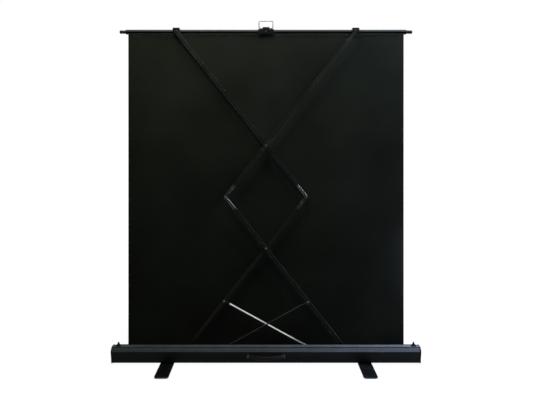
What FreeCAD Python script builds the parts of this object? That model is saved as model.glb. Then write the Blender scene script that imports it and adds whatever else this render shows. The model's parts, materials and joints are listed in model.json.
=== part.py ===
import FreeCAD, Part
import math
import os

# A floor-standing pull-up projection screen with a folding scissor at its back.
# x runs along the case, y from the scissor side (low) to the viewing side (high), z up from the floor.
# The origin is on the floor under the middle of the case. Sizes are in millimetres and degrees.

# Case
case_length = 1980.0
case_depth = 160.0
case_height = 100.0
case_wall = 2.5
face_height = 76.0
face_lean = 14.0
front_drop = 31.0
shoulder_depth = 15.0
groove_width = 7.0
groove_depth = 8.0
slot_lip = 8.0
bottom_flange = 26.0
floor_thickness = 3.0
end_cap_thickness = 8.0
end_cap_rim = 2.0
end_cap_chamfer = 1.5
end_screw_radius = 4.0
end_screw_depth = 2.5
end_screw_inset = 16.0
end_screw_sink = 0.6

# Feet
foot_length = 508.0
foot_width = 88.0
foot_thickness = 8.0
foot_corner = 18.0
foot_edge = 3.0
foot_inset = 357.0
foot_bolt_radius = 6.0
foot_bolt_head_radius = 11.0
foot_bolt_head_height = 3.5
foot_washer_radius = 30.0
foot_washer_height = 2.7
pad_length = 34.0
pad_thickness = 3.0
pad_inset = 14.0

# Scissor arms
open_angle = 51.7
upper_reach = 952.0
elbow_reach = 427.0
lower_reach = 882.0
arm_width = 22.0
arm_depth = 7.0
arm_wall = 1.6
arm_overhang = 6.0
tongue_width = 15.0
tongue_thickness = 4.0
tongue_bare = 98.0
tongue_hold = 45.0
sleeve_length = 100.0
sleeve_wall = 2.2
pin_radius = 4.0
pin_head_radius = 7.0
pin_head_height = 2.0
pin_tail_radius = 6.0

# Braces, glides and their rails
brace_angle = 28.7
brace_width = 8.0
brace_eye_radius = 6.0
brace_thickness = 5.0
glide_radius = 8.0
glide_width = 6.0
rail_inset = 90.0
rail_wall = 1.8
rail_floor = 2.0
rail_lift = 15.0
rail_rise = 5.0

# Fabric and roller
fabric_inset = 82.0
fabric_thickness = 1.0
roller_radius = 19.0
roller_wall = 1.8
roller_cover_gap = 10.0
roller_end_gap = 22.0
winding_thickness = 1.5
plug_length = 30.0
axle_radius = 5.0
bracket_thickness = 4.0
bracket_margin = 13.0
spring_radius = 12.0
spring_wall = 1.6
spring_length = 620.0

# Top bar, hem and bar tips
bar_inset = 67.0
bar_depth = 24.0
bar_height = 31.0
bar_wall = 2.0
bar_step = 8.0
bar_waist = 3.5
tip_length = 40.0
tip_radius = 11.0
tip_insert = 22.0
tip_round = 3.0
hem_height = 9.0
hem_thickness = 6.0

# Carriages on the top bar
carriage_width = 46.0
carriage_wall = 3.0
carriage_cap = 10.0
carriage_front_lip = 12.0
boss_radius = 8.0
screw_grip = 12.0

# Lifting bail on the top bar
bail_bracket_width = 102.0
bail_bracket_wall = 2.7
bail_knuckle_width = 44.0
bail_knuckle_depth = 14.0
bail_knuckle_height = 14.0
bail_width = 98.0
bail_height = 50.0
bail_wire_radius = 3.0
bail_corner = 9.0

# Carry strap on the back of the case
strap_span = 224.0
strap_bulge = 32.0
strap_height = 20.0
strap_thickness = 4.0
strap_lift = 47.0
strap_end_length = 22.0
strap_end_height = 24.0
strap_end_depth = 10.0
strap_end_bevel = 2.0
strap_screw_radius = 4.5
strap_screw_height = 1.6
strap_screw_offset = 3.6

# Transport hooks on the case
hook_inset = 41.0
hook_width = 24.0
hook_rise = 24.0
hook_thickness = 4.0
hook_nose = 5.0
hook_nose_lift = 11.8
hook_nose_height = 3.0
hook_nose_width = 7.2
hook_barrel_radius = 3.5
hook_pin_radius = 1.8
hook_setback = 34.0
hook_base_depth = 20.0
hook_base_thickness = 2.5
hook_ear = 4.0

# Clearances
layer_gap = 2.0
body_gap = 0.4
head_gap = 0.3
running_gap = 0.05
fold_gap = 2.5
case_gap = 1.5

# Heights worked out from the sizes above
foot_top = pad_thickness + foot_thickness
case_bottom = foot_top + head_gap + foot_washer_height
case_top = case_bottom + case_height
floor_top = case_bottom + floor_thickness
slide_z = floor_top + rail_lift + rail_floor + head_gap + glide_radius
scissor_length = lower_reach + 2 * elbow_reach + upper_reach
sin_open = math.sin(math.radians(open_angle))
cos_open = math.cos(math.radians(open_angle))
bar_z = slide_z + scissor_length * sin_open
bar_top = bar_z + bar_height / 2
bar_bottom = bar_z - bar_height / 2

# Depths: the case is centred on y = 0, and the fabric hangs off the back of the roller
case_back = -case_depth / 2
case_front = case_depth / 2
wound_radius = roller_radius + winding_thickness
roller_z = case_top - front_drop - case_wall - wound_radius - roller_cover_gap
roller_y = case_front - case_wall - wound_radius - 2 * layer_gap
fabric_y = roller_y - wound_radius - fabric_thickness / 2 - head_gap
bar_back = fabric_y - bar_depth / 2
carriage_back = bar_back - body_gap - carriage_wall
layer_step = arm_depth + layer_gap
upper_inner_y = carriage_back - layer_gap - arm_depth
lower_inner_y = upper_inner_y - layer_step
lower_outer_y = lower_inner_y - layer_step
upper_outer_y = lower_outer_y - layer_step
slot_back = upper_outer_y - sleeve_wall - pin_head_height - head_gap - case_gap
slot_front = fabric_y + bar_depth / 2 - case_wall

# Lengths and places along the case, measured in from its ends
shell_half = case_length / 2 - end_cap_thickness
foot_place = case_length / 2 - foot_inset
hook_place = case_length / 2 - hook_inset
rail_length = case_length - 2 * rail_inset
fabric_width = case_length - 2 * fabric_inset
bar_length = case_length - 2 * bar_inset
bracket_x = shell_half - roller_end_gap
roller_half = bracket_x - bracket_thickness - layer_gap

# Pivots of the open scissor in the x-z plane
lower_cross_z = slide_z + lower_reach * sin_open
elbow_z = lower_cross_z + elbow_reach * sin_open
upper_cross_z = elbow_z + elbow_reach * sin_open
elbow_x = elbow_reach * cos_open
lower_end_x = lower_reach * cos_open
carriage_x = upper_reach * cos_open
brace_x = lower_end_x / 2
brace_z = (slide_z + lower_cross_z) / 2
brace_length = (brace_z - slide_z) / math.sin(math.radians(brace_angle))

# Folded scissor: the bar comes down to just above the case
folded_bar_z = case_top + fold_gap + bar_height / 2
folded_angle = math.degrees(math.asin((folded_bar_z - slide_z) / scissor_length))
folded_brace_sine = lower_reach / 2 * math.sin(math.radians(folded_angle)) / brace_length
folded_brace_angle = math.degrees(math.asin(folded_brace_sine))

# Pivot of the bail, of the hooks and the height of the strap
bail_z = bar_top + bail_bracket_wall + bail_knuckle_height / 2
hook_y = case_back + hook_setback
hook_z = case_top + hook_base_thickness + hook_barrel_radius + head_gap
strap_z = case_bottom + strap_lift
strap_face = case_back + face_lean * (face_height - strap_lift) / face_height


def point(x, y, z):
    return FreeCAD.Vector(x, y, z)


def block(x0, x1, y0, y1, z0, z1):
    return Part.makeBox(x1 - x0, y1 - y0, z1 - z0, point(x0, y0, z0))


def rod_x(x0, x1, y, z, radius):
    return Part.makeCylinder(radius, x1 - x0, point(x0, y, z), point(1, 0, 0))


def rod_y(x, y0, y1, z, radius):
    return Part.makeCylinder(radius, y1 - y0, point(x, y0, z), point(0, 1, 0))


def rod_z(x, y, z0, z1, radius):
    return Part.makeCylinder(radius, z1 - z0, point(x, y, z0), point(0, 0, 1))


def joined(shapes):
    return shapes[0].fuse(shapes[1:]).removeSplitter()


def extruded_along_x(outline, x0, x1):
    corners = [point(x0, y, z) for y, z in outline]
    face = Part.Face(Part.makePolygon(corners + corners[:1]))
    return face.extrude(point(x1 - x0, 0, 0))


def mirrored(shape, normal):
    return shape.mirror(point(0, 0, 0), normal)


def stepped_pin(x, z, steps):
    return joined([rod_y(x, y0, y1, z, radius) for y0, y1, radius in steps])


def placed_arm(shape, pivot_x, pivot_z, angle):
    turned = shape.copy()
    turned.rotate(point(0, 0, 0), point(0, -1, 0), angle)
    turned.translate(point(pivot_x, 0, pivot_z))
    return turned


# One side wall of the case: face, sloping shoulder, groove and top flange with a turned-down lip
def case_shell(side, flange_edge, drop, lean):
    outer = case_depth / 2
    inner = outer - case_wall
    top = case_top - drop
    face_top = case_bottom + face_height - drop
    shoulder_y = outer - shoulder_depth
    groove_y = shoulder_y - groove_width
    groove_z = top - groove_depth
    under_top = top - case_wall
    under_groove = groove_z - case_wall
    foot_y = inner - lean
    outline = [
        (outer - lean, case_bottom),
        (outer, face_top),
        (shoulder_y, top - groove_depth / 2),
        (shoulder_y, groove_z),
        (groove_y, groove_z),
        (groove_y, top),
        (flange_edge, top),
        (flange_edge, top - slot_lip),
        (flange_edge + case_wall, top - slot_lip),
        (flange_edge + case_wall, under_top),
        (groove_y - case_wall, under_top),
        (groove_y - case_wall, under_groove),
        (shoulder_y - case_wall / 2, under_groove),
        (inner, face_top - case_wall / 2),
        (foot_y, floor_top + case_wall),
        (foot_y - bottom_flange, floor_top + case_wall),
        (foot_y - bottom_flange, floor_top),
        (foot_y, floor_top),
        (foot_y, case_bottom),
    ]
    return extruded_along_x([(side * y, z) for y, z in outline], -shell_half, shell_half)


def case_floor():
    half = case_depth / 2 - case_wall
    plate = block(-shell_half, shell_half, face_lean - half, half, case_bottom, floor_top)
    for side in (-1, 1):
        plate = plate.cut(rod_z(side * foot_place, 0, case_bottom, floor_top, foot_bolt_radius))
    return plate


def end_screw_places():
    near_edge = case_depth / 2 - end_screw_inset
    low = case_bottom + end_screw_inset
    high = case_bottom + face_height
    return [(-near_edge, low), (near_edge, low), (-near_edge, high), (near_edge, high - front_drop)]


# The end caps slope across the slot from the high wall to the low one
def end_cap(side):
    outer = case_depth / 2 + end_cap_rim
    shoulder = outer - shoulder_depth
    flange = shoulder - groove_width
    face_top = case_bottom + face_height + end_cap_rim
    shoulder_top = case_top + end_cap_rim - groove_depth / 2
    outline = [
        (face_lean - outer, case_bottom - end_cap_rim),
        (-outer, face_top),
        (-shoulder, shoulder_top),
        (-flange, case_top + end_cap_rim),
        (slot_back, case_top + end_cap_rim),
        (slot_front, case_top + end_cap_rim - front_drop),
        (flange, case_top + end_cap_rim - front_drop),
        (shoulder, shoulder_top - front_drop),
        (outer, face_top - front_drop),
        (outer, case_bottom - end_cap_rim),
    ]
    cap = extruded_along_x(outline, shell_half, case_length / 2)
    outside = [e for e in cap.Edges if e.BoundBox.XMin > case_length / 2 - end_cap_chamfer / 2]
    cap = cap.makeChamfer(end_cap_chamfer, outside)
    for y, z in end_screw_places():
        cap = cap.cut(rod_x(case_length / 2 - end_screw_depth, case_length / 2, y, z, end_screw_radius))
    return cap if side > 0 else mirrored(cap, point(1, 0, 0))


def end_screws():
    heads = []
    top = case_length / 2 - end_screw_sink
    for y, z in end_screw_places():
        head = rod_x(case_length / 2 - end_screw_depth, top, y, z, end_screw_radius)
        heads += [head, mirrored(head, point(1, 0, 0))]
    return heads


# A trough that the glides of one arm and one brace run in, low on the side where the arm's stud passes
def slide_rail(glide_y, arm_side):
    centre = glide_y + arm_depth / 2
    half = glide_width / 2 + head_gap
    base = floor_top + rail_lift
    high = slide_z + rail_rise
    low = slide_z - pin_radius - layer_gap / 2
    outline = [
        (-half - rail_wall, floor_top),
        (-half - rail_wall, high),
        (-half, high),
        (-half, base + rail_floor),
        (half, base + rail_floor),
        (half, low),
        (half + rail_wall, low),
        (half + rail_wall, floor_top),
        (half, floor_top),
        (half, base),
        (-half, base),
        (-half, floor_top),
    ]
    placed = [(centre + arm_side * y, z) for y, z in outline]
    return extruded_along_x(placed, -rail_length / 2, rail_length / 2)


def roller_bracket(side):
    x0 = bracket_x - bracket_thickness
    low = floor_top + case_wall
    high = roller_z + bracket_margin
    plate = block(x0, bracket_x, roller_y - bracket_margin, roller_y + bracket_margin, low, high)
    plate = plate.cut(rod_x(x0, bracket_x, roller_y, roller_z, axle_radius + running_gap))
    return plate if side > 0 else mirrored(plate, point(1, 0, 0))


def hollow_roller(half, radius, bore):
    return rod_x(-half, half, roller_y, roller_z, radius).cut(rod_x(-half, half, roller_y, roller_z, bore))


def roller_plug(side):
    bore = roller_radius - roller_wall
    body = rod_x(roller_half - plug_length, roller_half, roller_y, roller_z, bore)
    axle = rod_x(roller_half, bracket_x + layer_gap, roller_y, roller_z, axle_radius)
    plug = joined([body, axle])
    return plug if side > 0 else mirrored(plug, point(1, 0, 0))


def roller_spring():
    start = plug_length - roller_half
    core = rod_x(start, start + spring_length, roller_y, roller_z, spring_radius - spring_wall)
    return rod_x(start, start + spring_length, roller_y, roller_z, spring_radius).cut(core)


def fabric():
    half = fabric_width / 2
    near = fabric_y - fabric_thickness / 2
    return block(-half, half, near, near + fabric_thickness, roller_z, bar_bottom - hem_height - head_gap)


def hem():
    half = fabric_width / 2
    near = fabric_y - hem_thickness / 2
    return block(-half, half, near, near + hem_thickness, bar_bottom - hem_height, bar_bottom)


# Half-round top over a narrower lower part, hollow inside
def bar_solid(half, inset):
    radius = bar_depth / 2 - inset
    low_half = bar_depth / 2 - bar_step - inset
    crown_z = bar_top - bar_depth / 2
    waist_z = crown_z - bar_waist
    crown = rod_x(-half, half, fabric_y, crown_z, radius)
    middle = block(-half, half, fabric_y - radius, fabric_y + radius, waist_z + inset, crown_z)
    lower = block(-half, half, fabric_y - low_half, fabric_y + low_half, bar_bottom + inset, crown_z)
    back = fabric_y - bar_depth
    front = fabric_y + bar_depth
    below = block(-half, half, back, front, bar_bottom - bar_depth, waist_z + inset)
    return joined([crown.cut(below), middle, lower])


def top_bar():
    bar = bar_solid(bar_length / 2, 0).cut(bar_solid(bar_length / 2, bar_wall))
    hole = rod_y(0, bar_back, fabric_y, bar_z, pin_radius + running_gap)
    return bar.cut(hole)


# A round plug that closes the bar and stands out as its tip
def bar_tip(side):
    half = bar_length / 2
    insert_radius = bar_depth / 2 - bar_step - bar_wall
    tip = rod_x(half, half + tip_length, fabric_y, bar_z, tip_radius)
    end_edges = [e for e in tip.Edges if e.BoundBox.XMin > half + tip_length / 2]
    tip = tip.makeFillet(tip_round, end_edges)
    insert = rod_x(half - tip_insert, half, fabric_y, bar_z, insert_radius)
    whole = joined([insert, tip])
    return whole if side > 0 else mirrored(whole, point(1, 0, 0))


def arm_channel(arm_y, far_end, hole_places):
    start = tongue_bare
    end = far_end + arm_overhang
    half = arm_width / 2
    channel = block(start, end, arm_y, arm_y + arm_depth, -half, half)
    hollow = block(start, end, arm_y + arm_wall, arm_y + arm_depth, arm_wall - half, half - arm_wall)
    channel = channel.cut(hollow)
    for place, radius in hole_places:
        channel = channel.cut(rod_y(place, arm_y, arm_y + arm_wall, 0, radius))
    return channel


def elbow_tongue(arm_y, hole_radius):
    near = arm_y + arm_wall
    far = near + tongue_thickness
    half = tongue_width / 2
    strip = block(0, tongue_bare + tongue_hold, near, far, -half, half)
    eye = rod_y(0, near, far, 0, half)
    return joined([strip, eye]).cut(rod_y(0, near, far, 0, hole_radius))


def cross_sleeve():
    start = elbow_reach - sleeve_length / 2
    end = start + sleeve_length
    half = arm_width / 2
    outer_half = half + sleeve_wall
    front = upper_outer_y - sleeve_wall
    back = upper_outer_y + arm_depth
    sleeve = block(start, end, front, back, -outer_half, outer_half)
    sleeve = sleeve.cut(block(start, end, upper_outer_y, back, -half, half))
    return sleeve.cut(rod_y(elbow_reach, front, upper_outer_y, 0, pin_radius))


# A riveted pin: a head in front, the shank, and a smaller formed end behind
def rivet_steps(front_face, back_face):
    head_back = front_face - head_gap
    tail_front = back_face + head_gap
    return [
        (head_back - pin_head_height, head_back, pin_head_radius),
        (head_back, tail_front, pin_radius),
        (tail_front, tail_front + pin_head_height, pin_tail_radius),
    ]


def elbow_pin(outer_y, inner_y, side):
    front = outer_y + arm_wall
    back = inner_y + arm_wall + tongue_thickness
    return stepped_pin(side * elbow_x, elbow_z, rivet_steps(front, back))


def cross_pin(front_face, back_y, z):
    return stepped_pin(0, z, rivet_steps(front_face, back_y + arm_wall))


def brace_layer(arm_y):
    return arm_y + (arm_depth - brace_thickness) / 2


def brace_pin_outer():
    front = brace_layer(upper_outer_y)
    return stepped_pin(brace_x, brace_z, rivet_steps(front, lower_outer_y + arm_wall))


def brace_pin_inner():
    back = brace_layer(upper_inner_y) + brace_thickness
    head_back = lower_inner_y - head_gap
    steps = rivet_steps(lower_inner_y, back)
    steps[0] = (head_back - layer_gap / 2, head_back, pin_head_radius)
    return stepped_pin(-brace_x, brace_z, steps)


def brace_bar(arm_y, hole_radius):
    near = brace_layer(arm_y)
    far = near + brace_thickness
    half = brace_width / 2
    strip = block(0, brace_length, near, far, -half, half)
    ends = [rod_y(0, near, far, 0, brace_eye_radius), rod_y(brace_length, near, far, 0, half)]
    return joined([strip] + ends).cut(rod_y(0, near, far, 0, hole_radius))


def brace_glide(arm_y):
    near = arm_y + (arm_depth - glide_width) / 2
    disc = rod_y(brace_length, near, near + glide_width, 0, glide_radius)
    return disc.cut(brace_bar(arm_y, pin_radius))


# A round glide with its own stud, which is headed over on the far side of the arm's web
def arm_glide(side, glide_y, arm_y):
    near = glide_y + (arm_depth - glide_width) / 2
    far = near + glide_width
    web_back = arm_y + arm_wall
    if glide_y < arm_y:
        stud = (far, web_back, pin_radius)
        head = (web_back, web_back + pin_head_height, pin_head_radius)
    else:
        stud = (arm_y, near, pin_radius)
        head = (arm_y - layer_gap / 2, arm_y, pin_head_radius)
    return stepped_pin(side * lower_end_x, slide_z, [(near, far, glide_radius), stud, head])


# A saddle that slides along the bar and carries the upper end of one arm on its boss
def carriage(side, arm_y):
    x0 = side * carriage_x - carriage_width / 2
    x1 = x0 + carriage_width
    cap_low = bar_top + body_gap
    cap_high = cap_low + carriage_cap
    lip_near = fabric_y + bar_depth / 2 + body_gap
    lip_far = lip_near + carriage_wall
    plate = block(x0, x1, carriage_back, carriage_back + carriage_wall, bar_bottom, cap_high)
    cap = block(x0, x1, carriage_back, lip_far, cap_low, cap_high)
    lip = block(x0, x1, lip_near, lip_far, cap_high - carriage_front_lip, cap_high)
    tip = arm_y + arm_wall + head_gap
    boss = rod_y(side * carriage_x, tip, carriage_back, bar_z, boss_radius)
    saddle = joined([plate, cap, lip, boss])
    return saddle.cut(rod_y(side * carriage_x, tip, tip + screw_grip, bar_z, pin_radius))


def carriage_screw(side, arm_y):
    head_back = arm_y - head_gap
    tip = arm_y + arm_wall + head_gap + screw_grip
    steps = [
        (head_back - pin_head_height, head_back, pin_head_radius),
        (head_back, min(tip, carriage_back + carriage_wall), pin_radius),
    ]
    return stepped_pin(side * carriage_x, bar_z, steps)


def bail_bracket():
    half = bail_bracket_width / 2
    near = bar_back - bail_bracket_wall
    far = fabric_y + bar_depth / 2
    top = bar_top + bail_bracket_wall
    plate = block(-half, half, near, bar_back, bar_bottom, top)
    roof = block(-half, half, near, far, bar_top, top)
    knuckle_half = bail_knuckle_width / 2
    y0 = fabric_y - bail_knuckle_depth / 2
    y1 = y0 + bail_knuckle_depth
    knuckle = block(-knuckle_half, knuckle_half, y0, y1, top, top + bail_knuckle_height)
    bracket = joined([plate, roof, knuckle])
    bore = rod_x(-knuckle_half, knuckle_half, fabric_y, bail_z, bail_wire_radius + running_gap)
    rivet_hole = rod_y(0, near, bar_back, bar_z, pin_radius + running_gap)
    return bracket.cut(bore).cut(rivet_hole)


def centre_rivet():
    front = bar_back - bail_bracket_wall
    wall_back = bar_back + bar_step + bar_wall
    return stepped_pin(0, bar_z, rivet_steps(front, wall_back))


# A wire loop with rounded corners whose ends turn in to the knuckle
def bail():
    half = bail_width / 2 - bail_wire_radius
    top = bail_z + bail_height - bail_wire_radius
    inner = bail_knuckle_width / 4
    corner = bail_corner
    bend = corner * (1 - math.sqrt(0.5))

    def at(x, z):
        return point(x, fabric_y, z)

    def line(x0, z0, x1, z1):
        return Part.LineSegment(at(x0, z0), at(x1, z1)).toShape()

    def arc(first, middle, last):
        return Part.Arc(at(*first), at(*middle), at(*last)).toShape()

    low_right = (half - bend, bail_z + bend)
    high_right = (half - bend, top - bend)
    edges = [
        line(inner, bail_z, half - corner, bail_z),
        arc((half - corner, bail_z), low_right, (half, bail_z + corner)),
        line(half, bail_z + corner, half, top - corner),
        arc((half, top - corner), high_right, (half - corner, top)),
        line(half - corner, top, corner - half, top),
        arc((corner - half, top), (bend - half, top - bend), (-half, top - corner)),
        line(-half, top - corner, -half, bail_z + corner),
        arc((-half, bail_z + corner), (bend - half, bail_z + bend), (corner - half, bail_z)),
        line(corner - half, bail_z, -inner, bail_z),
    ]
    path = Part.Wire(edges)
    ring = Part.Wire(Part.makeCircle(bail_wire_radius, at(inner, bail_z), point(1, 0, 0)))
    return path.makePipeShell([ring], True, False)


def foot(side):
    half = foot_width / 2
    reach = foot_length / 2
    centre = side * foot_place
    plate = block(centre - half, centre + half, -reach, reach, pad_thickness, foot_top)
    upright = [e for e in plate.Edges if e.BoundBox.ZLength > foot_thickness / 2]
    plate = plate.makeFillet(foot_corner, upright)
    rim = [e for e in plate.Edges if e.BoundBox.ZMin > foot_top - foot_edge / 2]
    plate = plate.makeFillet(foot_edge, rim)
    recess_top = pad_thickness + foot_bolt_head_height + body_gap
    recess = rod_z(centre, 0, pad_thickness, recess_top, foot_bolt_head_radius + body_gap)
    plate = plate.cut(recess)
    return plate.cut(rod_z(centre, 0, pad_thickness, foot_top, foot_bolt_radius + running_gap))


def foot_bolt(side):
    centre = side * foot_place
    head_top = pad_thickness + foot_bolt_head_height
    head = rod_z(centre, 0, pad_thickness, head_top, foot_bolt_head_radius)
    shank = rod_z(centre, 0, head_top, floor_top, foot_bolt_radius)
    return joined([head, shank])


def foot_washer(side):
    centre = side * foot_place
    low = foot_top + head_gap
    washer = rod_z(centre, 0, low, case_bottom, foot_washer_radius)
    return washer.cut(rod_z(centre, 0, low, case_bottom, foot_bolt_radius))


def foot_pads(side):
    centre = side * foot_place
    half = foot_width / 2 - pad_inset
    pads = []
    for end in (-1, 1):
        middle = end * (foot_length / 2 - pad_inset - pad_length / 2)
        near = middle - pad_length / 2
        pads.append(block(centre - half, centre + half, near, near + pad_length, 0, pad_thickness))
    return Part.makeCompound(pads)


# A strap bowed away from the case between two screwed-on ends
def carry_strap():
    half = strap_span / 2
    end_y = strap_face - strap_end_depth / 2 + strap_thickness / 2
    mid_y = end_y - strap_bulge
    low = strap_z - strap_height / 2

    def bow(inset):
        first = point(-half, end_y - inset, low)
        middle = point(0, mid_y - inset, low)
        last = point(half, end_y - inset, low)
        return Part.Arc(first, middle, last).toShape(), first, last

    near_arc, near_first, near_last = bow(strap_thickness)
    far_arc, far_first, far_last = bow(0)
    first_end = Part.LineSegment(near_first, far_first).toShape()
    last_end = Part.LineSegment(far_last, near_last).toShape()
    outline = Part.Wire([near_arc, last_end, far_arc, first_end])
    return Part.Face(outline).extrude(point(0, 0, strap_height))


# A moulded end whose back follows the leaning face
def strap_end(side):
    inner = strap_span / 2 - strap_end_length / 2
    outer = inner + strap_end_length
    half = strap_end_height / 2
    near = strap_face - strap_end_depth
    tilt = half * face_lean / face_height
    low, high = strap_z - half, strap_z + half
    outline = [(near, low), (near, high), (strap_face - tilt, high), (strap_face + tilt, low)]
    cap = extruded_along_x(outline, inner, outer)
    outside = [e for e in cap.Edges if e.BoundBox.YMax < near + strap_end_depth / 4]
    cap = cap.makeChamfer(strap_end_bevel, outside)
    cap = cap if side > 0 else mirrored(cap, point(1, 0, 0))
    return cap.cut(carry_strap())


def strap_screws():
    near = strap_face - strap_end_depth
    heads = []
    for side in (-1, 1):
        place = side * (strap_span / 2 + strap_screw_offset)
        heads.append(rod_y(place, near - strap_screw_height, near, strap_z, strap_screw_radius))
    return heads


def hook_base(side):
    half = hook_width / 2 + body_gap
    outer = half + hook_ear
    depth = hook_base_depth / 2
    top = case_top + hook_base_thickness
    plate = block(-outer, outer, hook_y - depth, hook_y + depth, case_top, top)
    ears = []
    for x0 in (-outer, half):
        post = block(x0, x0 + hook_ear, hook_y - hook_barrel_radius, hook_y + hook_barrel_radius, top, hook_z)
        ears += [post, rod_x(x0, x0 + hook_ear, hook_y, hook_z, hook_barrel_radius)]
    bore = rod_x(-outer, outer, hook_y, hook_z, hook_pin_radius + running_gap)
    base = joined([plate] + ears).cut(bore)
    base.translate(point(side * hook_place, 0, 0))
    return base


# A pointed hook on a barrel whose ends turn in the ears, its nose turned towards the bar
def latch_hook(side):
    half = hook_width / 2
    near = hook_y - hook_thickness / 2
    far = hook_y + hook_thickness / 2
    peak = hook_z + hook_rise
    corners = [point(-half, near, hook_z), point(half, near, hook_z), point(0, near, peak)]
    blade = Part.Face(Part.makePolygon(corners + corners[:1])).extrude(point(0, far - near, 0))
    barrel = rod_x(-half, half, hook_y, hook_z, hook_barrel_radius)
    nose_z = hook_z + hook_nose_lift
    nose = [(far, nose_z), (far, nose_z + hook_nose_height), (far + hook_nose, nose_z)]
    nose_shape = extruded_along_x(nose, -hook_nose_width / 2, hook_nose_width / 2)
    reach = half + body_gap + hook_ear
    trunnion = rod_x(-reach, reach, hook_y, hook_z, hook_pin_radius)
    hook = joined([blade, barrel, nose_shape, trunnion])
    hook.translate(point(side * hook_place, 0, 0))
    return hook


def scissor_nodes():
    loose = pin_radius + running_gap
    upper_end = elbow_reach + upper_reach
    lower_end = elbow_reach + lower_reach
    brace_place = elbow_reach + lower_reach / 2
    upper_holes = [(elbow_reach, loose), (upper_end, loose)]
    tight_upper_holes = [(elbow_reach, pin_radius), (upper_end, loose)]
    outer_holes = [(elbow_reach, pin_radius), (brace_place, loose), (lower_end, pin_radius)]
    inner_holes = [(elbow_reach, loose), (brace_place, pin_radius), (lower_end, pin_radius)]
    left = (-elbow_x, elbow_z)
    right = (elbow_x, elbow_z)
    up_right = open_angle
    up_left = 180 - open_angle
    down_right = -open_angle
    down_left = 180 + open_angle
    brace_left_down = 180 + brace_angle
    brace_right_down = -brace_angle
    upper_outer = arm_channel(upper_outer_y, upper_end, tight_upper_holes)
    upper_inner = arm_channel(upper_inner_y, upper_end, upper_holes)
    lower_outer = arm_channel(lower_outer_y, lower_end, outer_holes)
    lower_inner = arm_channel(lower_inner_y, lower_end, inner_holes)
    return {
        "upper_arm_outer": placed_arm(upper_outer, *left, up_right),
        "upper_arm_inner": placed_arm(upper_inner, *right, up_left),
        "lower_arm_outer": placed_arm(lower_outer, *left, down_right),
        "lower_arm_inner": placed_arm(lower_inner, *right, down_left),
        "upper_tongue_outer": placed_arm(elbow_tongue(upper_outer_y, loose), *left, up_right),
        "upper_tongue_inner": placed_arm(elbow_tongue(upper_inner_y, loose), *right, up_left),
        "lower_tongue_outer": placed_arm(elbow_tongue(lower_outer_y, pin_radius), *left, down_right),
        "lower_tongue_inner": placed_arm(elbow_tongue(lower_inner_y, pin_radius), *right, down_left),
        "cross_sleeve": placed_arm(cross_sleeve(), *left, up_right),
        "elbow_pin_outer": elbow_pin(upper_outer_y, lower_outer_y, -1),
        "elbow_pin_inner": elbow_pin(lower_inner_y, upper_inner_y, 1),
        "upper_cross_pin": cross_pin(upper_outer_y - sleeve_wall, upper_inner_y, upper_cross_z),
        "lower_cross_pin": cross_pin(lower_outer_y, lower_inner_y, lower_cross_z),
        "brace_pin_outer": brace_pin_outer(),
        "brace_pin_inner": brace_pin_inner(),
        "brace_outer": placed_arm(brace_bar(upper_outer_y, loose), brace_x, brace_z, brace_left_down),
        "brace_inner": placed_arm(brace_bar(upper_inner_y, loose), -brace_x, brace_z, brace_right_down),
        "brace_glide_outer": placed_arm(brace_glide(upper_outer_y), brace_x, brace_z, brace_left_down),
        "brace_glide_inner": placed_arm(brace_glide(upper_inner_y), -brace_x, brace_z, brace_right_down),
        "arm_glide_outer": arm_glide(1, upper_outer_y, lower_outer_y),
        "arm_glide_inner": arm_glide(-1, upper_inner_y, lower_inner_y),
        "carriage_right": carriage(1, upper_outer_y),
        "carriage_left": carriage(-1, upper_inner_y),
        "carriage_screw_right": carriage_screw(1, upper_outer_y),
        "carriage_screw_left": carriage_screw(-1, upper_inner_y),
    }


def case_nodes():
    tube_bore = roller_radius - roller_wall
    return {
        "case_floor": case_floor(),
        "back_shell": case_shell(-1, -slot_back, 0, face_lean),
        "front_shell": case_shell(1, slot_front, front_drop, 0),
        "end_cap_left": end_cap(-1),
        "end_cap_right": end_cap(1),
        "case_screws": Part.makeCompound(end_screws() + strap_screws()),
        "slide_rail_outer": slide_rail(upper_outer_y, 1),
        "slide_rail_inner": slide_rail(upper_inner_y, -1),
        "roller_bracket_left": roller_bracket(-1),
        "roller_bracket_right": roller_bracket(1),
        "roller_tube": hollow_roller(roller_half, roller_radius, tube_bore),
        "wound_fabric": hollow_roller(fabric_width / 2, wound_radius, roller_radius),
        "roller_plug_left": roller_plug(-1),
        "roller_plug_right": roller_plug(1),
        "roller_spring": roller_spring(),
        "fabric": fabric(),
        "carry_strap": carry_strap(),
        "strap_end_left": strap_end(-1),
        "strap_end_right": strap_end(1),
    }


def bar_nodes():
    return {
        "top_bar": top_bar(),
        "bar_tip_left": bar_tip(-1),
        "bar_tip_right": bar_tip(1),
        "hem": hem(),
        "bail_bracket": bail_bracket(),
        "centre_rivet": centre_rivet(),
        "bail": bail(),
    }


def paired_nodes():
    nodes = {}
    pair = (-1, 1)
    for side, name in ((-1, "left"), (1, "right")):
        nodes["foot_" + name] = foot(side)
        nodes["latch_hook_" + name] = latch_hook(side)
    nodes["foot_pads_left"] = foot_pads(-1)
    nodes["foot_pads_right"] = foot_pads(1)
    nodes["foot_bolts"] = Part.makeCompound([foot_bolt(side) for side in pair])
    nodes["foot_washers"] = Part.makeCompound([foot_washer(side) for side in pair])
    nodes["hook_bases"] = Part.makeCompound([hook_base(side) for side in pair])
    return nodes


def main():
    os.makedirs("parts", exist_ok=True)
    nodes = {**case_nodes(), **scissor_nodes(), **bar_nodes(), **paired_nodes()}
    for name, shape in nodes.items():
        if not shape.isValid():
            raise ValueError("the solid is not valid: " + name)
        shape.exportStep(os.path.join("parts", name + ".step"))
    print(len(nodes), "nodes, bar at", round(bar_z, 1))
    print("folded arm angle", round(folded_angle, 3), "folded brace angle", round(folded_brace_angle, 3))


if __name__ == "__main__":
    main()
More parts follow.
